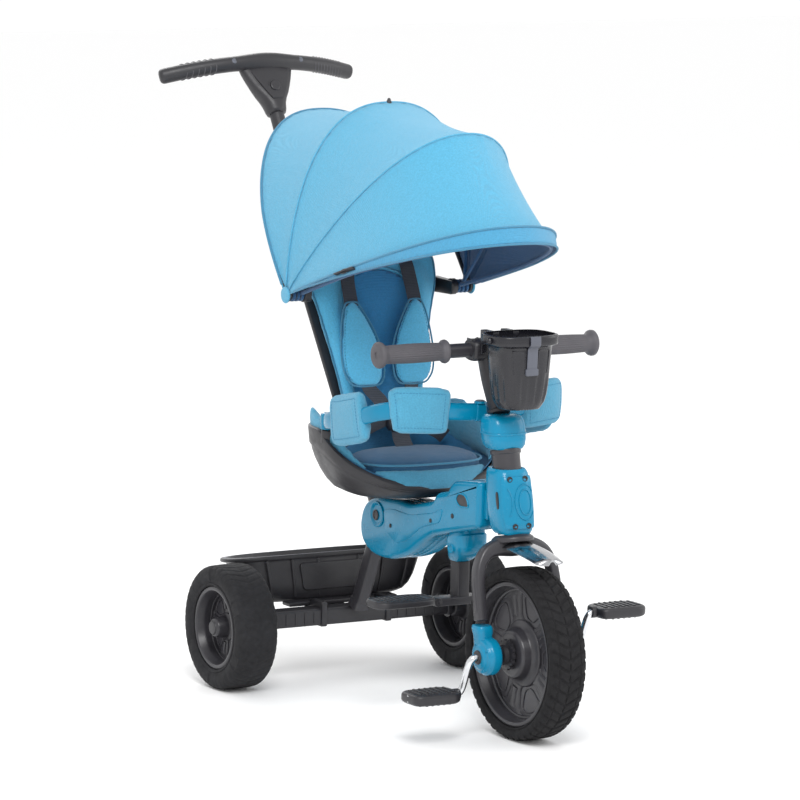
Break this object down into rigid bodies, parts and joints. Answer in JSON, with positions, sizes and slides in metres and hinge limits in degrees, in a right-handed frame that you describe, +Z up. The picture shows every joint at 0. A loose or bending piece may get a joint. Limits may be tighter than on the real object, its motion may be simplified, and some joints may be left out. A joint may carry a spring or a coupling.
{
  "type": "children's tricycle",
  "caption": "Child's pedal tricycle with a folding fabric canopy, padded bucket seat and harness, split safety bar, front basket, rear tray and a parent's push handle.",
  "frame": {"origin": "on the floor, under the middle of the whole bounding box", "axes": "+X towards the rider's left, +Y towards the rear, so the tricycle faces -Y, +Z up"},
  "size_m": [0.512, 1.0292, 0.989],
  "materials": {
    "blue_plastic": "glossy moulded",
    "dark_plastic": "fine grained moulded",
    "grey_plastic": "satin moulded",
    "tyre_foam": "matt foamed",
    "steel": "plated",
    "sky_fabric": "woven polyester",
    "webbing": "ribbed strap"
  },
  "bodies": {
    "frame": {"main_frame": "blue_plastic", "head_block": "blue_plastic", "footrest_bracket": "blue_plastic", "footrest_post": "dark_plastic", "axle_beam": "dark_plastic", "rear_axle": "steel", "rear_post": "dark_plastic", "rear_tray": "dark_plastic", "push_tube": "dark_plastic", "seat_shell": "dark_plastic", "backrest_pad": "sky_fabric", "backrest_shell": "dark_plastic", "seat_cushion": "sky_fabric", "shoulder_pad_right": "sky_fabric", "shoulder_pad_left": "sky_fabric", "harness_buckle": "dark_plastic", "crotch_strap": "webbing", "canopy_bow_rear": "dark_plastic", "canopy_panel_rear": "sky_fabric", "canopy_bracket_right": "dark_plastic", "canopy_bracket_left": "dark_plastic"},
    "steering": {"fork": "dark_plastic", "steering_stem": "dark_plastic", "steering_boot": "blue_plastic", "handlebar_stem": "dark_plastic", "handlebar": "dark_plastic", "grip_right": "grey_plastic", "grip_left": "grey_plastic", "fork_cap_right": "blue_plastic", "fork_cap_left": "blue_plastic", "mudguard": "grey_plastic", "basket": "dark_plastic"},
    "front_wheel": {"front_tyre": "tyre_foam", "front_rim": "dark_plastic", "drive_hub": "grey_plastic"},
    "crank": {"crank": "steel"},
    "pedal_right": {"pedal_right": "dark_plastic"},
    "pedal_left": {"pedal_left": "dark_plastic"},
    "rear_wheel_right": {"rear_tyre_right": "tyre_foam", "rear_rim_right": "dark_plastic"},
    "rear_wheel_left": {"rear_tyre_left": "tyre_foam", "rear_rim_left": "dark_plastic"},
    "push_handle": {"push_handle": "dark_plastic"},
    "handle_button": {"handle_button": "grey_plastic"},
    "canopy_middle": {"canopy_bow_middle": "dark_plastic", "canopy_panel_middle": "sky_fabric"},
    "canopy_front": {"canopy_bow_front": "dark_plastic", "canopy_panel_front": "sky_fabric"},
    "canopy_brim": {"canopy_bow_brim": "dark_plastic"},
    "safety_bar_right": {"safety_bar_right": "blue_plastic", "bar_pad_side_right": "sky_fabric", "bar_pad_front_right": "sky_fabric"},
    "safety_bar_left": {"safety_bar_left": "blue_plastic", "bar_pad_side_left": "sky_fabric", "bar_pad_front_left": "sky_fabric"},
    "bar_button": {"bar_button": "grey_plastic"},
    "footrest_right": {"footrest_right": "dark_plastic"},
    "footrest_left": {"footrest_left": "dark_plastic"},
    "brake_bar": {"brake_bar": "dark_plastic"},
    "buckle_button": {"buckle_button": "grey_plastic"}
  },
  "joints": [
    {"name": "steering_turn", "type": "hinge", "parent": "frame", "child": "steering", "pos_m": [0, -0.3376, 0.312], "axis": [0, 0.1942, 0.981], "range_deg": [-30, 30]},
    {"name": "front_wheel_spin", "type": "hinge", "parent": "steering", "child": "front_wheel", "pos_m": [0, -0.3816, 0.133], "axis": [1, 0, 0], "continuous": true},
    {"name": "crank_turn", "type": "hinge", "parent": "steering", "child": "crank", "pos_m": [0, -0.3816, 0.133], "axis": [1, 0, 0], "continuous": true},
    {"name": "pedal_right_spin", "type": "hinge", "parent": "crank", "child": "pedal_right", "pos_m": [-0.157, -0.3686, 0.076], "axis": [1, 0, 0], "continuous": true},
    {"name": "pedal_left_spin", "type": "hinge", "parent": "crank", "child": "pedal_left", "pos_m": [0.157, -0.3946, 0.19], "axis": [1, 0, 0], "continuous": true},
    {"name": "rear_wheel_right_spin", "type": "hinge", "parent": "frame", "child": "rear_wheel_right", "pos_m": [-0.2205, 0.1564, 0.1], "axis": [1, 0, 0], "continuous": true},
    {"name": "rear_wheel_left_spin", "type": "hinge", "parent": "frame", "child": "rear_wheel_left", "pos_m": [0.2205, 0.1564, 0.1], "axis": [1, 0, 0], "continuous": true},
    {"name": "push_handle_slide", "type": "slide", "parent": "frame", "child": "push_handle", "axis": [0, 0.5131, 0.8583], "range_m": [-0.1, 0.05]},
    {"name": "handle_button_press", "type": "slide", "parent": "push_handle", "child": "handle_button", "axis": [0, 0.8583, -0.5131], "range_m": [0, 0.002], "stiffness_N_per_m": 400},
    {"name": "canopy_middle_fold", "type": "hinge", "parent": "frame", "child": "canopy_middle", "pos_m": [0, 0.0824, 0.64], "axis": [-1, 0, 0], "range_deg": [0, 30], "deforming": ["canopy_panel_rear"]},
    {"name": "canopy_front_fold", "type": "hinge", "parent": "canopy_middle", "child": "canopy_front", "pos_m": [0, 0.0824, 0.64], "axis": [-1, 0, 0], "range_deg": [0, 30], "deforming": ["canopy_panel_middle"]},
    {"name": "canopy_brim_fold", "type": "hinge", "parent": "canopy_front", "child": "canopy_brim", "pos_m": [0, 0.0824, 0.64], "axis": [-1, 0, 0], "range_deg": [0, 22], "deforming": ["canopy_panel_front"]},
    {"name": "safety_bar_right_swing", "type": "hinge", "parent": "frame", "child": "safety_bar_right", "pos_m": [-0.144, -0.0136, 0.45], "axis": [0, 0, -1], "range_deg": [0, 70]},
    {"name": "safety_bar_left_swing", "type": "hinge", "parent": "frame", "child": "safety_bar_left", "pos_m": [0.144, -0.0136, 0.45], "axis": [0, 0, 1], "range_deg": [0, 70]},
    {"name": "bar_button_press", "type": "slide", "parent": "safety_bar_right", "child": "bar_button", "axis": [0, 0, -1], "range_m": [0, 0.0015], "stiffness_N_per_m": 400},
    {"name": "footrest_right_fold", "type": "hinge", "parent": "frame", "child": "footrest_right", "pos_m": [-0.046, -0.1846, 0.184], "axis": [0, 1, 0], "range_deg": [0, 85]},
    {"name": "footrest_left_fold", "type": "hinge", "parent": "frame", "child": "footrest_left", "pos_m": [0.046, -0.1846, 0.184], "axis": [0, -1, 0], "range_deg": [0, 85]},
    {"name": "brake_turn", "type": "hinge", "parent": "frame", "child": "brake_bar", "pos_m": [0, 0.1864, 0.106], "axis": [-1, 0, 0], "range_deg": [0, 20]},
    {"name": "buckle_button_press", "type": "slide", "parent": "frame", "child": "buckle_button", "axis": [0, 1, 0], "range_m": [0, 0.003], "stiffness_N_per_m": 300}
  ],
  "couplings": [
    {"joint": "crank_turn", "follows": "front_wheel_spin", "ratio": 1}
  ]
}
